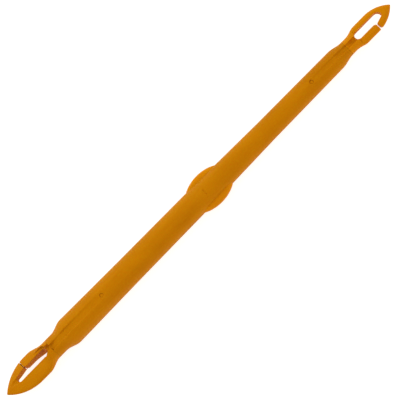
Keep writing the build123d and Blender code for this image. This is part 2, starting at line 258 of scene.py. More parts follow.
def make_finger_plate():
    """The oval plate, drawn up from its outline, with both rims fully rounded."""
    deselect()
    bpy.ops.mesh.primitive_circle_add(
        vertices=128, radius=1.0, fill_type="NGON", location=(0, 0, PLATE_LOW.z)
    )
    plate = settle(bpy.context.active_object, "finger_plate")
    bpy.ops.object.mode_set(mode="EDIT")
    bpy.ops.mesh.select_all(action="SELECT")
    centre = (0, 0, PLATE_LOW.z)
    bpy.ops.transform.resize(value=(PLATE_HALF_LENGTH, PLATE_HALF_WIDTH, 1), center_override=centre)
    bpy.ops.mesh.extrude_region_move(TRANSFORM_OT_translate={"value": (0, 0, PLATE_THICKNESS)})
    bpy.ops.mesh.select_all(action="SELECT")
    bpy.ops.mesh.normals_make_consistent(inside=False)
    bpy.ops.object.mode_set(mode="OBJECT")
    apply_modifier(
        plate, "BEVEL", width=PLATE_RIM, segments=10, limit_method="ANGLE", angle_limit=radians(60)
    )
    shade(plate, 35)
    return plate


# ---------------------------------------------------------------- rod
LARGE_NECK = 4.15 * MM
LARGE_SWELL = 5.6 * MM
LARGE_WAIST = 5.24 * MM
LARGE_ROOT = 5.03 * MM
SMALL_ROOT = 4.72 * MM
SMALL_WAIST = 4.30 * MM
SMALL_SWELL = 4.07 * MM
SMALL_NECK = 3.13 * MM
LARGE_STEM = 1.65 * MM
SMALL_STEM = 1.3 * MM
LARGE_CHANNEL = 2.6 * MM
SMALL_CHANNEL = 2.0 * MM
CHANNEL_END_DEPTH = 0.22 * MM
LARGE_SWELL_DEPTH = 0.6 * MM
SMALL_SWELL_DEPTH = 0.5 * MM
LARGE_CHANNEL_FLOOR = 2.8 * MM
SMALL_CHANNEL_FLOOR = 2.25 * MM

LARGE_NECK_LENGTH = 2.9 * MM
LARGE_FLARE_LENGTH = 6 * MM
SMALL_FLARE_LENGTH = 5.9 * MM
LARGE_WAIST_OFFSET = 29.5 * MM
SMALL_WAIST_X = 30 * MM
PLATE_ROOT_INSET = 2.7 * MM

NECK_END_X = LARGE_SEAM + LARGE_NECK_LENGTH
SWELL_X = NECK_END_X + LARGE_FLARE_LENGTH
TAIL_X = SMALL_SEAM - SMALL_FLARE_LENGTH
ROOT_X = PLATE_HALF_LENGTH - PLATE_ROOT_INSET
ROD_MARKS = [
    (SWELL_X, LARGE_SWELL),
    (SWELL_X + LARGE_WAIST_OFFSET, LARGE_WAIST),
    (-ROOT_X, LARGE_ROOT),
    (ROOT_X, SMALL_ROOT),
    (SMALL_WAIST_X, SMALL_WAIST),
    (TAIL_X, SMALL_SWELL),
]
RING_PITCH = 2 * MM
FLARE_STEPS = 10

# moulding witness across the crown
NICK_X = -1.8 * MM
NICK_Y = -0.6 * MM
NICK_LENGTH = 2.7 * MM
NICK_WIDTH = 0.7 * MM
NICK_DEPTH = 0.42 * MM
NICK_TOOL_RADIUS = 8 * MM


def eased(share):
    """A share from 0 to 1 that starts and ends gently."""
    return (1 - cos(pi * share)) / 2


def rod_radius(x):
    """Radius of the rod between its two flares."""
    for (x0, r0), (x1, r1) in zip(ROD_MARKS, ROD_MARKS[1:]):
        if x0 <= x <= x1:
            return r0 + (r1 - r0) * (x - x0) / (x1 - x0)
    return LARGE_SWELL if x < 0 else SMALL_SWELL


def rod_stations():
    """Rings over the whole rod, a little past both seams."""
    rings = [(LARGE_SEAM - OVERRUN, LARGE_NECK)]
    for step in range(FLARE_STEPS):
        share = step / FLARE_STEPS
        radius = LARGE_NECK + (LARGE_SWELL - LARGE_NECK) * eased(share)
        rings.append((NECK_END_X + (SWELL_X - NECK_END_X) * share, radius))
    count = round((TAIL_X - SWELL_X) / RING_PITCH)
    for step in range(count + 1):
        x = SWELL_X + (TAIL_X - SWELL_X) * step / count
        rings.append((x, rod_radius(x)))
    for step in range(1, FLARE_STEPS + 1):
        share = step / FLARE_STEPS
        radius = SMALL_SWELL + (SMALL_NECK - SMALL_SWELL) * eased(share)
        rings.append((TAIL_X + (SMALL_SEAM - TAIL_X) * share, radius))
    rings.append((SMALL_SEAM + OVERRUN, SMALL_NECK))
    return [(x, radius, radius, 0) for x, radius in rings]


def cut_crown_channels(rod):
    """The channels on the crown: a long shallow run from each pin, then a fall to the seam."""
    for seam, swell_x, pin_x, floor, depth, width in (
        (LARGE_SEAM, SWELL_X, LARGE_PIN_X, LARGE_CHANNEL_FLOOR, LARGE_SWELL_DEPTH, LARGE_CHANNEL),
        (SMALL_SEAM, TAIL_X, SMALL_PIN_X, SMALL_CHANNEL_FLOOR, SMALL_SWELL_DEPTH, SMALL_CHANNEL),
    ):
        outward = -1 if seam < 0 else 1
        pin_floor = rod_radius(pin_x) - CHANNEL_END_DEPTH
        swell_floor = rod_radius(swell_x) - depth
        heights = [(pin_x, pin_floor), (swell_x, swell_floor), (seam, floor)]
        for (x0, z0), (x1, z1) in zip(heights, heights[1:]):
            end = x1 + outward * 1.5 * OVERRUN
            far = (end, 0, AXIS_Z + z0 + (z1 - z0) / (x1 - x0) * (end - x0))
            cut(rod, trough((x0, 0, AXIS_Z + z0), far, width))


def nick_tool():
    """A short curved sliver across the crown beside the finger plate."""
    low_x, high_x = NICK_X - NICK_WIDTH / 2, NICK_X + NICK_WIDTH / 2
    nick = round_bar((low_x, 0, AXIS_Z), (high_x, 0, AXIS_Z), NICK_TOOL_RADIUS)
    core_radius = rod_radius(NICK_X) - NICK_DEPTH
    core = round_bar((NICK_X - OVERRUN, 0, AXIS_Z), (NICK_X + OVERRUN, 0, AXIS_Z), core_radius, ROD_SIDES)
    cut(nick, core)
    window_low = (NICK_X - OVERRUN, NICK_Y - NICK_LENGTH / 2, AXIS_Z)
    window_high = (NICK_X + OVERRUN, NICK_Y + NICK_LENGTH / 2, 2 * TALL)
    cut(nick, block(window_low, window_high), "INTERSECT")
    return nick


def true_up_ends(rod):
    """Cut the underside flat and the two ends square."""
    reach = 3 * OVERRUN
    for low_x, high_x, top in (
        (LARGE_SEAM - reach, SMALL_SEAM + reach, ROD_LOW.z),
        (LARGE_SEAM - reach, LARGE_SEAM, 2 * TALL),
        (SMALL_SEAM, SMALL_SEAM + reach, 2 * TALL),
    ):
        cut(rod, block((low_x, -TALL, -TALL), (high_x, TALL, top)))


def bore_rod(rod):
    """The blind bores for the stems and the holes for the retaining pins."""
    for mouth, bottom, stem in (
        (LARGE_SEAM - OVERRUN, LARGE_HIGH.x + STEM_END_GAP, LARGE_STEM),
        (SMALL_SEAM + OVERRUN, SMALL_LOW.x - STEM_END_GAP, SMALL_STEM),
    ):
        cut(rod, round_bar((mouth, 0, AXIS_Z), (bottom, 0, AXIS_Z), stem + BORE_PLAY, BORE_SIDES))
    for pin_x in (LARGE_PIN_X, SMALL_PIN_X):
        cut(rod, round_bar((pin_x, 0, AXIS_Z), (pin_x, 0, AXIS_Z + TALL), PIN_RADIUS + PIN_HOLE_PLAY))


def make_rod(plate):
    """The tapered rod with its flat underside, channels, bores and the pocket for the plate."""
    rod = drawn_out("tapered_rod", rod_stations(), ROD_SIDES)
    rod.location = (0, 0, AXIS_Z)
    settle(rod)
    bpy.ops.object.mode_set(mode="EDIT")
    bpy.ops.mesh.select_all(action="SELECT")
    bpy.ops.mesh.bisect(plane_co=(0, 0, ROD_LOW.z), plane_no=(0, 0, 1), use_fill=True, clear_inner=True)
    bpy.ops.object.mode_set(mode="OBJECT")
    cut_crown_channels(rod)
    cut(rod, nick_tool())
    soften(rod, ROD_GRAIN)
    true_up_ends(rod)
    bore_rod(rod)
    cut(rod, plate, keep=True)
    shade(rod, 50)
    return rod


# ---------------------------------------------------------------- retaining pins
def make_pin(name, low, high):
    """A pin with a broken edge and a slightly dished outer end."""
    edge, rim, dish = 0.15 * MM, 0.2 * MM, 0.05 * MM
    centre = ((low.x + high.x) / 2, (low.y + high.y) / 2)
    deselect()
    bpy.ops.mesh.primitive_cylinder_add(
        vertices=48, radius=PIN_RADIUS, depth=high.z - low.z, location=(*centre, (low.z + high.z) / 2)
    )
    pin = settle(bpy.context.active_object, name)
    apply_modifier(pin, "BEVEL", width=edge, segments=4, limit_method="ANGLE", angle_limit=radians(60))
    for face in pin.data.polygons:
        face.select = face.normal.z > 0.99
    bpy.ops.object.mode_set(mode="EDIT")
    bpy.ops.mesh.select_mode(type="FACE")
    bpy.ops.mesh.inset(thickness=rim)
    bpy.ops.mesh.extrude_region_move(TRANSFORM_OT_translate={"value": (0, 0, -dish)})
    bpy.ops.transform.resize(value=(0.6, 0.6, 1), center_override=(*centre, high.z))
    bpy.ops.object.mode_set(mode="OBJECT")
    shade(pin, 40)
    return pin


# ---------------------------------------------------------------- eyes
# Distances along an eye run from its seam to its point. Across it, minus is the split side.
LARGE = {
    "length": 24.1 * MM, "neck": LARGE_NECK, "neck_length": 1.7 * MM, "shoulder": 8.5 * MM, "nose": 10.5 * MM,
    "half_width": 5.95 * MM, "half_depth": 1.95 * MM, "face": 0,
    "solid_neck_length": 0.8 * MM, "solid_shoulder": 6.6 * MM, "solid_half_width": 6.15 * MM,
    "slot_start": 1.9 * MM, "slot_end": 17.6 * MM, "slot_height": 3 * MM, "slot_offset": -0.5 * MM,
    "far_radius": 1.3 * MM, "lip_drop": 0.35 * MM, "slit": 12.2 * MM, "slit_width": 0.22 * MM,
    "slit_slant": 0.7 * MM, "gate_tip": 0.9 * MM, "lip_tip": 0.3 * MM,
    "pivot": 4.6 * MM, "pivot_depth": 1.45 * MM, "knuckle": 1.75 * MM,
    "stem": LARGE_STEM, "stem_length": 29 * MM, "groove": 0.55 * MM, "pin_distance": 26.6 * MM,
    "channel": LARGE_CHANNEL, "channel_floor": LARGE_CHANNEL_FLOOR,
    "landing_start": 4 * MM, "landing": 5 * MM,
    "dish": 3.2 * MM, "dish_radius": 1.25 * MM, "dish_depth": 0.7 * MM,
}
SMALL = {
    "length": 22.75 * MM, "neck": SMALL_NECK, "neck_length": 2.5 * MM, "shoulder": 7.3 * MM, "nose": 13 * MM,
    "half_width": 4.15 * MM, "half_depth": 2.05 * MM, "face": 1.5 * MM,
    "solid_neck_length": 2.5 * MM, "solid_shoulder": 7.3 * MM, "solid_half_width": 4.15 * MM,
    "slot_start": 4.9 * MM, "slot_end": 17.7 * MM, "slot_height": 3.1 * MM, "slot_offset": 0.3 * MM,
    "far_radius": 1.9 * MM, "lip_drop": 0.5 * MM, "slit": 13.5 * MM, "slit_width": 0.6 * MM,
    "slit_slant": 0.35 * MM, "gate_tip": 0.9 * MM, "lip_tip": 0.9 * MM,
    "pivot": 6.9 * MM, "pivot_depth": 1.3 * MM, "knuckle": 1.6 * MM,
    "stem": SMALL_STEM, "stem_length": 20 * MM, "groove": 0.45 * MM, "pin_distance": 18.1 * MM,
    "channel": SMALL_CHANNEL, "channel_floor": SMALL_CHANNEL_FLOOR,
    "landing_start": 0, "landing": 0, "dish": 0, "dish_radius": 0, "dish_depth": 0,
}
TIP_FLAT = 0.2 * MM
HEAD_RING_PITCH = 0.5 * MM
RAMP_START = 3.4 * MM
RAMP_RUN = 2 * MM
SLOT_ROUND_SHARE = 0.49
SLOT_FAR_SHARE = 0.3
SLOT_FAR_CORNER = 0.5 * MM
CHANNEL_SLOT_SHARE = 0.5
DISH_LEAD = 1.5 * MM
DISH_UNDER = 0.2 * MM
OUTSIDE = 1.5 * MM


def flank(eye, along, neck_length, shoulder, widest):
    """Distance of one flank from the middle: eased out to the shoulder, then an arc to the point."""
    if along <= neck_length:
        return eye["neck"]
    if along < shoulder:
        share = (along - neck_length) / (shoulder - neck_length)
        return eye["neck"] + (widest - eye["neck"]) * eased(share)
    if along <= eye["nose"]:
        return widest
    run = eye["length"] - eye["nose"]
    radius = (run**2 + widest**2) / (2 * widest)
    return widest - radius + sqrt(radius**2 - (along - eye["nose"]) ** 2)


def half_width(eye, along):
    """Half width on the split side."""
    return flank(eye, along, eye["neck_length"], eye["shoulder"], eye["half_width"])


def solid_half_width(eye, along):
    """Half width on the unsplit side."""
    return flank(eye, along, eye["solid_neck_length"], eye["solid_shoulder"], eye["solid_half_width"])


def half_depth(eye, along):
    """Half thickness of the head, which thins with its width towards the point."""
    if along <= eye["neck_length"]:
        return eye["neck"]
    if along < eye["shoulder"]:
        share = (along - eye["neck_length"]) / (eye["shoulder"] - eye["neck_length"])
        return eye["neck"] + (eye["half_depth"] - eye["neck"]) * eased(share)
    return eye["half_depth"] * sqrt(half_width(eye, along) / eye["half_width"])


def head_stations(eye):
    """Rings from just short of the seam to the point."""
    start = min(eye["neck_length"], eye["solid_neck_length"])
    last = eye["length"] - TIP_FLAT
    count = round((last - start) / HEAD_RING_PITCH)
    rings = [(-OVERRUN, eye["neck"], eye["neck"], 0)]
    for step in range(count + 1):
        along = start + (last - start) * step / count
        solid, split = solid_half_width(eye, along), half_width(eye, along)
        rings.append((along, (solid + split) / 2, half_depth(eye, along), (solid - split) / 2))
    return rings


def face_block(eye, side):
    """What comes off one face of a head so that it is flat, its near end leaning to make a ramp."""
    low, high = sorted((side * eye["face"], side * TALL))
    tool = block((RAMP_START, -TALL, low), (eye["length"] + OVERRUN, TALL, high))
    make_active(tool)
    for vertex in tool.data.vertices:
        at_ramp = vertex.co.x < RAMP_START + 1e-6
        vertex.select = at_ramp and abs(vertex.co.z - side * TALL) > 1e-6
    bpy.ops.object.mode_set(mode="EDIT")
    bpy.ops.mesh.select_mode(type="VERT")
    bpy.ops.transform.translate(value=(RAMP_RUN, 0, 0))
    bpy.ops.object.mode_set(mode="OBJECT")
    return tool


def make_head(eye):
    """Head and neck of an eye, pointing along +X from its seam at 0."""
    head = drawn_out("head", head_stations(eye), EYE_SIDES)
    if eye["face"]:
        for side in (1, -1):
            cut(head, face_block(eye, side))
    return head


def gate_edge(eye):
    """The slot's edge on the split side, where the gate begins."""
    return eye["slot_offset"] - eye["slot_height"] / 2


def outside(eye):
    """Clear of the head on the split side."""
    return -eye["half_width"] - OUTSIDE


def slot_block(eye):
    """The slot as a tall block: round at the neck end, slanted along the lip of the nose."""
    low = gate_edge(eye)
    high = low + eye["slot_height"]
    start, end, slit = eye["slot_start"], eye["slot_end"], eye["slit"]
    lip = slit + eye["slit_width"]
    tool = block((start, low, -TALL), (end, high, TALL))
    score_across(tool, slit)
    score_across(tool, lip)
    far_low = eye["slot_offset"] - SLOT_FAR_SHARE * eye["slot_height"]
    shift_upright(tool, end, low, (0, far_low - low))
    shift_upright(tool, lip, low, (0, -eye["lip_drop"]))
    for y in (low, high):
        round_upright(tool, start, y, SLOT_ROUND_SHARE * eye["slot_height"])
    round_upright(tool, end, high, eye["far_radius"])
    round_upright(tool, end, far_low, SLOT_FAR_CORNER, 4)
    return tool


def bar_upright(x, y, radius):
    """A tall round bar standing at x, y."""
    return round_bar((x, y, -TALL), (x, y, TALL), radius, 96)


def gate_root(eye):
    """Where the gate bends."""
    return eye["pivot"], gate_edge(eye) - eye["pivot_depth"]


def split_block(eye, play=0):
    """The split as a thin tall block, slanted outward to the point."""
    out = outside(eye)
    lip = eye["slit"] + eye["slit_width"] + play
    tool = block((eye["slit"], out, -TALL), (lip, eye["slot_offset"], TALL))
    for x in (eye["slit"], lip):
        shift_upright(tool, x, out, (eye["slit_slant"], 0))
    return tool


def gate_corner(eye):
    """What comes off the inner corner of the gate at the split so that it is round."""
    low, radius, past = gate_edge(eye), eye["gate_tip"], 0.1 * MM
    tool = block((eye["slit"] - radius, low - radius, -TALL), (eye["slit"] + past, low + past, TALL))
    cut(tool, bar_upright(eye["slit"] - radius, low - radius, radius))
    return tool


def gate_space(eye, play):
    """The space that holds the gate: round root, straight arm, ending in the middle of the split."""
    out, past = outside(eye), 0.4 * MM
    end = eye["slit"] + eye["slit_width"] / 2
    tool = block((eye["pivot"] - play, out, -TALL), (end, gate_edge(eye) + past, TALL))
    shift_upright(tool, end, out, (eye["slit_slant"], 0))
    cut(tool, bar_upright(*gate_root(eye), eye["knuckle"] + play), "UNION")
    return tool


def lip_corner(eye):
    """What comes off the outer corner of the nose's lip so that it is round."""
    radius = eye["lip_tip"]
    lip = eye["slit"] + eye["slit_width"]
    edge = -half_width(eye, lip + radius) + 0.05 * MM
    lip += eye["slit_slant"] * (eye["slot_offset"] - edge) / (eye["slot_offset"] - outside(eye))
    middle_of_split = lip - eye["slit_width"] / 2
    tool = block((middle_of_split, edge - OVERRUN, -TALL), (lip + radius, edge + radius, TALL))
    cut(tool, bar_upright(lip + radius, edge + radius, radius))
    return tool


def face_channels(eye):
    """Cutters for the channel from the neck into the slot, the landing, and the dishes past the slot."""
    into_slot = eye["slot_start"] + eye["slot_height"] / 2
    slot_floor = CHANNEL_SLOT_SHARE * eye["half_depth"]
    lead = 2 * OVERRUN + eye["channel"] / 2
    rise = (eye["channel_floor"] - slot_floor) / into_slot * lead
    bars = [trough((-lead, 0, eye["channel_floor"] + rise), (into_slot, 0, slot_floor), eye["channel"])]
    if eye["landing"]:
        near = (eye["landing_start"], eye["slot_offset"], eye["half_depth"])
        far = (eye["shoulder"], eye["slot_offset"], eye["half_depth"])
        bars.append(trough(near, far, eye["landing"]))
    if eye["dish"]:
        rim_x = eye["slot_end"] + eye["dish"]
        rim = half_depth(eye, rim_x)
        floor = half_depth(eye, eye["slot_end"]) - eye["dish_depth"] - DISH_UNDER
        near = (eye["slot_end"] - DISH_LEAD, eye["slot_offset"])
        for side in (1, -1):
            far = (rim_x, eye["slot_offset"], side * rim)
            bars.append(flute((*near, side * floor), far, eye["dish_radius"], side))
    return bars


def make_stem(eye):
    """The round stem behind the seam, with the groove that its pin runs in."""
    stem, edge = eye["stem"], 0.3 * MM
    groove_half = PIN_RADIUS + PIN_GROOVE_PLAY
    groove_x, groove = -eye["pin_distance"], eye["stem"] - eye["groove"]
    rings = [
        (-eye["stem_length"], stem - edge),
        (-eye["stem_length"] + edge, stem),
        (groove_x - groove_half, stem),
        (groove_x - groove_half, groove),
        (groove_x + groove_half, groove),
        (groove_x + groove_half, stem),
        (OVERRUN, stem),
    ]
    return drawn_out("stem", [(x, radius, radius, 0) for x, radius in rings], STEM_SIDES)


def place(piece, seam, toward, turn):
    """Turn a piece made along +X from 0 to its own end of the rod."""
    facing = Matrix.Rotation(0 if toward > 0 else pi, 4, "Z")
    piece.matrix_world = Matrix.Translation((seam, 0, AXIS_Z)) @ Matrix.Rotation(turn, 4, "X") @ facing
    return settle(piece)


def make_eye(names, eye, seam, toward, turn, grain):
    """The whole soft-edged eye, then its gate parted from it at the root and through the split."""
    head = make_head(eye)
    for tool in (slot_block(eye), split_block(eye), gate_corner(eye), lip_corner(eye), *face_channels(eye)):
        cut(head, tool)
    soften(head, grain)
    cut(head, block((-3 * OVERRUN, -TALL, -TALL), (SEAM_GAP, TALL, TALL)))
    cut(head, split_block(eye, LIP_PLAY))
    arm = head.copy()
    arm.data = head.data.copy()
    bpy.context.scene.collection.objects.link(arm)
    cut(arm, gate_space(eye, 0), "INTERSECT")
    cut(head, gate_space(eye, PIVOT_PLAY))
    cut(head, make_stem(eye), "UNION")
    for piece, name in zip((head, arm), names):
        piece.name = piece.data.name = name
        shade(piece, 50)
        place(piece, seam, toward, turn)
    return head, arm


# ---------------------------------------------------------------- materials
def node_group(name, inputs, outputs):
    """An empty shader group with float inputs and outputs, and its end nodes."""
    group = bpy.data.node_groups.new(name, "ShaderNodeTree")
    for title, kind, value in inputs:
        socket = group.interface.new_socket(title, in_out="INPUT", socket_type=kind)
        if value is not None:
            socket.default_value = value
    for title, kind in outputs:
        group.interface.new_socket(title, in_out="OUTPUT", socket_type=kind)
    return group, group.nodes.new("NodeGroupInput"), group.nodes.new("NodeGroupOutput")


FLOAT, COLOUR, VECTOR = "NodeSocketFloat", "NodeSocketColor", "NodeSocketVector"


def maths(group, operation, a, b=None):
    """One sum on values or output sockets."""
    node = group.nodes.new("ShaderNodeMath")
    node.operation = operation
    for socket, value in zip(node.inputs, (a, b)):
        if value is None:
            continue
        if hasattr(value, "is_output"):
            group.links.new(value, socket)
        else:
            socket.default_value = value
    return node.outputs[0]


def part_of(group, value, share):
    """A share of a value."""
    return maths(group, "MULTIPLY", value, share)


def spread(group, value, low, high, to_low=0.0, to_high=1.0):
    """Map a value from one range to another, held at both ends."""
    node = group.nodes.new("ShaderNodeMapRange")
    node.inputs["From Min"].default_value = low
    node.inputs["From Max"].default_value = high
    node.inputs["To Min"].default_value = to_low
    node.inputs["To Max"].default_value = to_high
    group.links.new(value, node.inputs["Value"])
    return node.outputs["Result"]


def noise(group, coords, scale, detail=4.0, rough=0.55, stretch=None):
    """Cloudy noise from 0 to 1, drawn out by a stretch along each axis."""
    if stretch:
        mapping = group.nodes.new("ShaderNodeMapping")
        mapping.inputs["Scale"].default_value = stretch
        group.links.new(coords, mapping.inputs["Vector"])
        coords = mapping.outputs["Vector"]
    node = group.nodes.new("ShaderNodeTexNoise")
    group.links.new(coords, node.inputs["Vector"])
    if hasattr(scale, "is_output"):
        group.links.new(scale, node.inputs["Scale"])
    else:
        node.inputs["Scale"].default_value = scale
    node.inputs["Detail"].default_value = detail
    node.inputs["Roughness"].default_value = rough
    return node.outputs["Fac"]


def mould_grain_group():
    """The faint spark-eroded grain that the mould leaves: height and a mask for roughness."""
    group, given, result = node_group(
        "Mould_Grain",
        [("Coords", VECTOR, None), ("Scale", FLOAT, 3200.0)],
        [("Height", FLOAT), ("Mask", FLOAT)],
    )
    fine = noise(group, given.outputs["Coords"], given.outputs["Scale"], 3.0, 0.6)
    broad = noise(group, given.outputs["Coords"], 420.0, 2.0, 0.5)
    height = maths(group, "ADD", fine, maths(group, "MULTIPLY", broad, 0.8))
    group.links.new(height, result.inputs["Height"])
    group.links.new(spread(group, broad, 0.35, 0.65), result.inputs["Mask"])
    return group


def flow_marks_group():
    """Long soft streaks and clouds where the plastic flowed along the mould."""
    group, given, result = node_group(
        "Flow_Marks", [("Coords", VECTOR, None)], [("Streaks", FLOAT), ("Clouds", FLOAT)]
    )
    streaks = noise(group, given.outputs["Coords"], 1.0, 4.0, 0.6, (45.0, 620.0, 620.0))
    clouds = noise(group, given.outputs["Coords"], 1.0, 3.0, 0.5, (60.0, 160.0, 160.0))
    group.links.new(spread(group, streaks, 0.36, 0.64), result.inputs["Streaks"])
    group.links.new(spread(group, clouds, 0.34, 0.66), result.inputs["Clouds"])
    return group


def edge_wear_and_painted_shade_group():
    """Paler rubbed edges broken up by noise, and painted shade darkening the hollows."""
    group, given, result = node_group(
        "Edge_Wear_And_Painted_Shade", [("Coords", VECTOR, None)], [("Rubbed", FLOAT), ("Painted Hollow Shade", FLOAT)]
    )
    geometry = group.nodes.new("ShaderNodeNewGeometry")
    point = geometry.outputs["Pointiness"]
    patches = spread(group, noise(group, given.outputs["Coords"], 700.0, 4.0, 0.65), 0.4, 0.62, 0.35, 1.0)
    rubbed = maths(group, "MULTIPLY", spread(group, point, 0.515, 0.58), patches)
    group.links.new(rubbed, result.inputs["Rubbed"])
    # painted shade: rises where the surface turns inward, in creases and corners
    group.links.new(spread(group, point, 0.485, 0.43), result.inputs["Painted Hollow Shade"])
    return group


def scratches_group():
    """Sparse hair scratches from handling, mostly along the stick."""
    group, given, result = node_group(
        "Handling_Scratches", [("Coords", VECTOR, None)], [("Height", FLOAT), ("Mask", FLOAT)]
    )
    bend = group.nodes.new("ShaderNodeMapping")
    bend.inputs["Rotation"].default_value = (0.0, 0.0, radians(7))
    group.links.new(given.outputs["Coords"], bend.inputs["Vector"])
    lines = noise(group, bend.outputs["Vector"], 1.0, 2.0, 0.5, (70.0, 5200.0, 5200.0))
    thin = spread(group, lines, 0.70, 0.73)
    where = spread(group, noise(group, given.outputs["Coords"], 130.0, 2.0, 0.5), 0.52, 0.62)
    mask = maths(group, "MULTIPLY", thin, where)
    group.links.new(mask, result.inputs["Mask"])
    group.links.new(maths(group, "MULTIPLY", mask, -1.0), result.inputs["Height"])
    return group


def parting_line_group():
    """The fine raised line where the two halves of the mould met."""
    group, given, result = node_group(
        "Parting_Line",
        [("Coords", VECTOR, None), ("Line Z", FLOAT, AXIS_Z), ("Half Width", FLOAT, 0.09 * MM)],
        [("Height", FLOAT)],
    )
    parts = group.nodes.new("ShaderNodeSeparateXYZ")
    group.links.new(given.outputs["Coords"], parts.inputs[0])
    wander = maths(group, "MULTIPLY", noise(group, given.outputs["Coords"], 60.0, 1.0, 0.5), 0.1 * MM)
    off = maths(group, "SUBTRACT", parts.outputs["Z"], given.outputs["Line Z"])
    off = maths(group, "ABSOLUTE", maths(group, "SUBTRACT", off, wander))
    share = maths(group, "DIVIDE", off, given.outputs["Half Width"])
    group.links.new(spread(group, share, 1.0, 0.3), result.inputs["Height"])
    return group


def mix_colour(tree, mask, below, above):
    """Mix two colours by a mask; each may be a colour or an output socket."""
    node = tree.nodes.new("ShaderNodeMix")
    node.data_type = "RGBA"
    sockets = {"Factor": mask, "A": below, "B": above}
    kinds = {"Factor": "VALUE", "A": "RGBA", "B": "RGBA"}
    for socket in node.inputs:
        if socket.type != kinds.get(socket.name):
            continue
        value = sockets[socket.name]
        if hasattr(value, "is_output"):
            tree.links.new(value, socket)
        else:
            socket.default_value = value
    return [out for out in node.outputs if out.type == "RGBA"][0]


def place_group(tree, group, coords):
    """Put a shared shader group into a material."""
    node = tree.nodes.new("ShaderNodeGroup")
    node.node_tree = group
    tree.links.new(coords, node.inputs["Coords"])
    return node


GRAIN = mould_grain_group()
FLOW = flow_marks_group()
WEAR_AND_SHADE = edge_wear_and_painted_shade_group()
SCRATCHES = scratches_group()
PARTING = parting_line_group()

AMBER = (0.565, 0.197, 0.001, 1.0)

# bump heights, in millimetres
GRAIN_HEIGHT = 0.012
SCRATCH_DEPTH = 0.02
STREAK_HEIGHT = 0.02
PARTING_HEIGHT = 0.06


def amber_plastic(name, tone_and_painted_glow=1.0, roughness=0.48, parting=True, offset=(0.0, 0.0, 0.0)):
    """Satin amber-orange moulded plastic."""
    material = bpy.data.materials.new(name)
    material.use_nodes = True
    tree = material.node_tree
    shader = tree.nodes["Principled BSDF"]
    place_in = tree.nodes.new("ShaderNodeTexCoord")
    shifted = tree.nodes.new("ShaderNodeMapping")
    shifted.inputs["Location"].default_value = offset
    tree.links.new(place_in.outputs["Object"], shifted.inputs["Vector"])
    coords = shifted.outputs["Vector"]

    grain = place_group(tree, GRAIN, coords)
    flow = place_group(tree, FLOW, coords)
    wear_and_shade = place_group(tree, WEAR_AND_SHADE, coords)
    scratches = place_group(tree, SCRATCHES, coords)

    # This factor scales the base colour. On the large eye and the pins it is a slight tone shift. On the
    # plate and the small eye it is painted light: the much lighter colour stands in for light shining through
    # thin plastic.
    base = [channel * tone_and_painted_glow for channel in AMBER[:3]] + [1.0]
    # deep is the darker tone of the flow clouds and also the colour of the painted shade in the hollows
    deep = [base[0] * 0.86, base[1] * 0.80, base[2], 1.0]
    pale = [base[0] * 1.10, base[1] * 1.16, base[2] + 0.002, 1.0]
    rubbed = [base[0] * 1.16, base[1] * 1.28, base[2] + 0.008, 1.0]
    colour = mix_colour(tree, part_of(tree, flow.outputs["Clouds"], 0.7), base, deep)
    colour = mix_colour(tree, part_of(tree, flow.outputs["Streaks"], 0.25), colour, pale)
    # painted shade: hollows and creases are darkened towards deep
    colour = mix_colour(tree, part_of(tree, wear_and_shade.outputs["Painted Hollow Shade"], 0.6), colour, deep)
    colour = mix_colour(tree, part_of(tree, wear_and_shade.outputs["Rubbed"], 0.6), colour, rubbed)
    colour = mix_colour(tree, part_of(tree, scratches.outputs["Mask"], 0.35), colour, rubbed)
    tree.links.new(colour, shader.inputs["Base Color"])

    rough = maths(tree, "ADD", part_of(tree, grain.outputs["Mask"], 0.10), roughness)
    rough = maths(tree, "SUBTRACT", rough, part_of(tree, wear_and_shade.outputs["Rubbed"], 0.12))
    rough = maths(tree, "ADD", rough, part_of(tree, scratches.outputs["Mask"], 0.15))
    tree.links.new(rough, shader.inputs["Roughness"])

    height = part_of(tree, grain.outputs["Height"], GRAIN_HEIGHT)
    height = maths(tree, "ADD", height, part_of(tree, scratches.outputs["Height"], SCRATCH_DEPTH))
    height = maths(tree, "ADD", height, part_of(tree, flow.outputs["Streaks"], STREAK_HEIGHT))
    if parting:
        line = place_group(tree, PARTING, place_in.outputs["Object"])
        height = maths(tree, "ADD", height, part_of(tree, line.outputs["Height"], PARTING_HEIGHT))
    bump = tree.nodes.new("ShaderNodeBump")
    bump.inputs["Distance"].default_value = 1 * MM
    bump.inputs["Strength"].default_value = 1.0
    tree.links.new(height, bump.inputs["Height"])
    tree.links.new(bump.outputs["Normal"], shader.inputs["Normal"])

    shader.inputs["IOR"].default_value = 1.49
    shader.inputs["Specular IOR Level"].default_value = 0.05
    shader.inputs["Specular Tint"].default_value = (1.0, 0.5, 0.05, 1.0)
    shader.inputs["Subsurface Weight"].default_value = 0.12
    shader.inputs["Subsurface Radius"].default_value = (1.0, 0.35, 0.02)
    shader.inputs["Subsurface Scale"].default_value = 1.2 * MM
    return material


def dress(piece, material):
    """Give a piece its one material."""
    piece.data.materials.clear()
    piece.data.materials.append(material)


# ---------------------------------------------------------------- the object
plate = make_finger_plate()
rod = make_rod(plate)
large_pin = make_pin("large_retaining_pin", LARGE_PIN_LOW, LARGE_PIN_HIGH)
small_pin = make_pin("small_retaining_pin", SMALL_PIN_LOW, SMALL_PIN_HIGH)
large_names = ("large_pointed_eye", "large_gate_arm")
large_head, large_arm = make_eye(large_names, LARGE, LARGE_SEAM, -1, LARGE_TURN, LARGE_EYE_GRAIN)
small_names = ("small_pointed_eye", "small_gate_arm")
small_head, small_arm = make_eye(small_names, SMALL, SMALL_SEAM, 1, 0, SMALL_EYE_GRAIN)

ROD_PLASTIC = amber_plastic("Rod_Amber_Plastic")
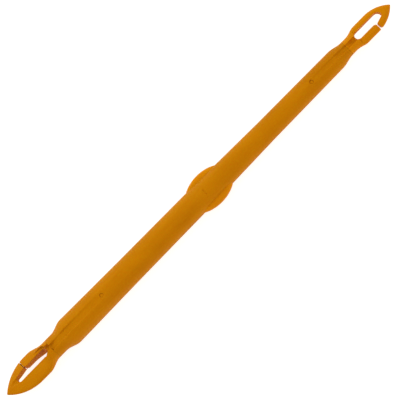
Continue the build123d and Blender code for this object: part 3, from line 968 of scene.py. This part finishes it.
# painted light: the plate's base colour is lifted by 1.22, standing in for light shining through its thin rim
PLATE_GLOW_PLASTIC = amber_plastic("Plate_Painted_Glow_Amber_Plastic", 1.22, 0.46, False, (0.05, 0.03, 0.0))
EYE_PLASTIC = amber_plastic("Eye_Amber_Plastic", 1.06, 0.46, False, (0.03, 0.01, 0.0))
# painted light: the small eye's base colour is lifted by 1.18, standing in for light shining through thin
# plastic
THIN_EYE_GLOW_PLASTIC = amber_plastic("Thin_Eye_Painted_Glow_Amber_Plastic", 1.18, 0.44, False, (0.02, 0.06, 0.0))
PIN_PLASTIC = amber_plastic("Pin_Amber_Plastic", 1.05, 0.5, False, (0.07, 0.02, 0.0))

for piece, node, body, slot, material in (
    (rod, "shaft", "rod", "body_plastic", ROD_PLASTIC),
    (plate, "grip_plate", "rod", "body_plastic", PLATE_GLOW_PLASTIC),
    (large_pin, "large_eye_pin", "rod", "body_plastic", PIN_PLASTIC),
    (small_pin, "small_eye_pin", "rod", "body_plastic", PIN_PLASTIC),
    (large_head, "large_eye", "large_eye", "eye_plastic", EYE_PLASTIC),
    (small_head, "small_eye", "small_eye", "eye_plastic", THIN_EYE_GLOW_PLASTIC),
    (large_arm, "large_gate", "large_gate", "eye_plastic", EYE_PLASTIC),
    (small_arm, "small_gate", "small_gate", "eye_plastic", THIN_EYE_GLOW_PLASTIC),
):
    dress(piece, material)
    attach(piece, body)
    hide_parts(node)

# ---------------------------------------------------------------- floor, light and camera
WHITE = (1.0, 1.0, 1.0, 1.0)
FLOOR_GREY = (0.5, 0.5, 0.5, 1.0)
FLOOR_WIDTH = 6
FLOOR_GLOW = 0.75
SKY_STRENGTH = 0.68

VIEW_TILT = radians(11)
VIEW_ROLL = radians(45.56)
VIEW_WIDTH = 146.4 * MM
AIM_ALONG = -5.2 * MM
AIM_ACROSS = -0.39 * MM
LENS = 135.0
SENSOR_WIDTH = 36.0


def make_floor():
    """A pale floor that glows a little, so that the shadows on it stay faint."""
    material = bpy.data.materials.new("Pale_Floor")
    material.use_nodes = True
    shader = material.node_tree.nodes["Principled BSDF"]
    shader.inputs["Base Color"].default_value = FLOOR_GREY
    shader.inputs["Roughness"].default_value = 0.9
    shader.inputs["Specular IOR Level"].default_value = 0.1
    shader.inputs["Emission Color"].default_value = WHITE
    shader.inputs["Emission Strength"].default_value = FLOOR_GLOW
    deselect()
    bpy.ops.mesh.primitive_plane_add(size=FLOOR_WIDTH, location=(0, 0, 0))
    floor = settle(bpy.context.active_object, "floor")
    dress(floor, material)
    return floor


def light_sky():
    """Even white light from all round."""
    world = bpy.data.worlds.new("Studio")
    bpy.context.scene.world = world
    world.use_nodes = True
    sky = world.node_tree.nodes["Background"]
    sky.inputs["Color"].default_value = WHITE
    sky.inputs["Strength"].default_value = SKY_STRENGTH


def soft_box(name, place_at, size, power, colour):
    """A round soft lamp that faces the middle of the stick."""
    lamp = bpy.data.lights.new(name, "AREA")
    lamp.color = colour
    lamp.shape = "DISK"
    lamp.size = size
    lamp.energy = power
    holder = bpy.data.objects.new(name, lamp)
    bpy.context.scene.collection.objects.link(holder)
    holder.location = place_at
    holder.rotation_euler = (-Vector(place_at)).to_track_quat("-Z", "Y").to_euler()


def make_camera():
    """A long lens that looks down on the crown, rolled so that the stick runs from corner to corner."""
    lens = bpy.data.cameras.new("camera")
    lens.lens = LENS
    lens.sensor_width = SENSOR_WIDTH
    lens.clip_start, lens.clip_end = 0.01, 10
    camera = bpy.data.objects.new("camera", lens)
    bpy.context.scene.collection.objects.link(camera)
    along_rod = Vector((1, 0, 0))
    across_rod = Vector((0, cos(VIEW_TILT), sin(VIEW_TILT)))
    back = Vector((0, -sin(VIEW_TILT), cos(VIEW_TILT)))
    right = along_rod * cos(VIEW_ROLL) - across_rod * sin(VIEW_ROLL)
    up = along_rod * sin(VIEW_ROLL) + across_rod * cos(VIEW_ROLL)
    aim = Vector((AIM_ALONG, 0, AXIS_Z)) + across_rod * AIM_ACROSS
    distance = VIEW_WIDTH / 2 * LENS / (SENSOR_WIDTH / 2)
    turn = Matrix((right, up, back)).transposed().to_4x4()
    camera.matrix_world = Matrix.Translation(aim + back * distance) @ turn
    return camera


make_floor()
light_sky()
soft_box("key_soft_box", (-0.3, 0.75, 0.6), 0.4, 3.8, (0.92, 1.0, 0.85))
soft_box("fill_soft_box", (0.4, -0.7, 0.6), 0.9, 1.7, (1.0, 0.7, 0.45))
bpy.context.scene.camera = make_camera()
bpy.context.scene.view_settings.view_transform = "Standard"
